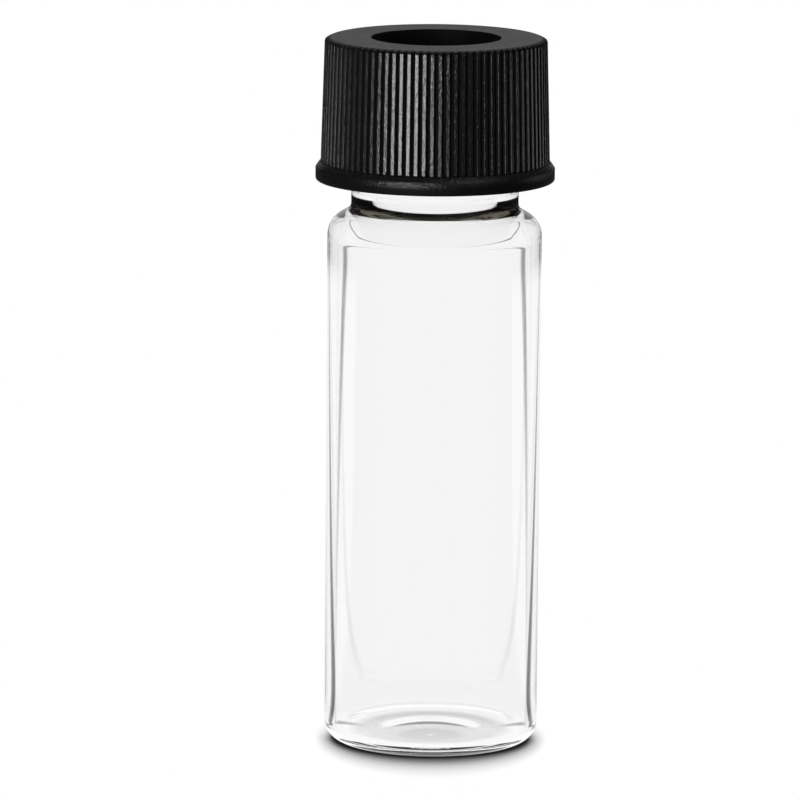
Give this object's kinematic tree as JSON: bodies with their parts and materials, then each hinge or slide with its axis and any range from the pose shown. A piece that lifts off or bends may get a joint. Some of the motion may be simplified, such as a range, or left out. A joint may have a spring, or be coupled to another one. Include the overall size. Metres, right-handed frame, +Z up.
{
  "type": "glass sample vial",
  "caption": "Clear glass screw-top sample vial with a ribbed black open-top screw cap and a septum.",
  "frame": {"origin": "centre of the base on the standing plane", "axes": "+Z up along the vial's axis"},
  "size_m": [0.0164, 0.0162, 0.0485],
  "materials": {
    "clear_glass": "clear tube glass, fire-polished smooth",
    "black_plastic": "black moulded plastic, semi-gloss with a fine orange peel",
    "septum_rubber": "off-white silicone with a smooth bonded facing, satin"
  },
  "bodies": {
    "vial": {"glass_vial": "clear_glass"},
    "seal": {"septum": "septum_rubber"},
    "cap": {"screw_cap": "black_plastic"}
  },
  "joints": [
    {"name": "cap_lift", "type": "slide", "parent": "vial", "child": "seal", "axis": [0, 0, 1], "range_m": [0, 0.0085]},
    {"name": "cap_turn", "type": "hinge", "parent": "seal", "child": "cap", "pos_m": [0, 0, 0.0437], "axis": [0, 0, 1], "range_deg": [0, 1440]}
  ],
  "couplings": [
    {"joint": "cap_lift", "follows": "cap_turn", "m_per_rad": 0.00033693}
  ]
}
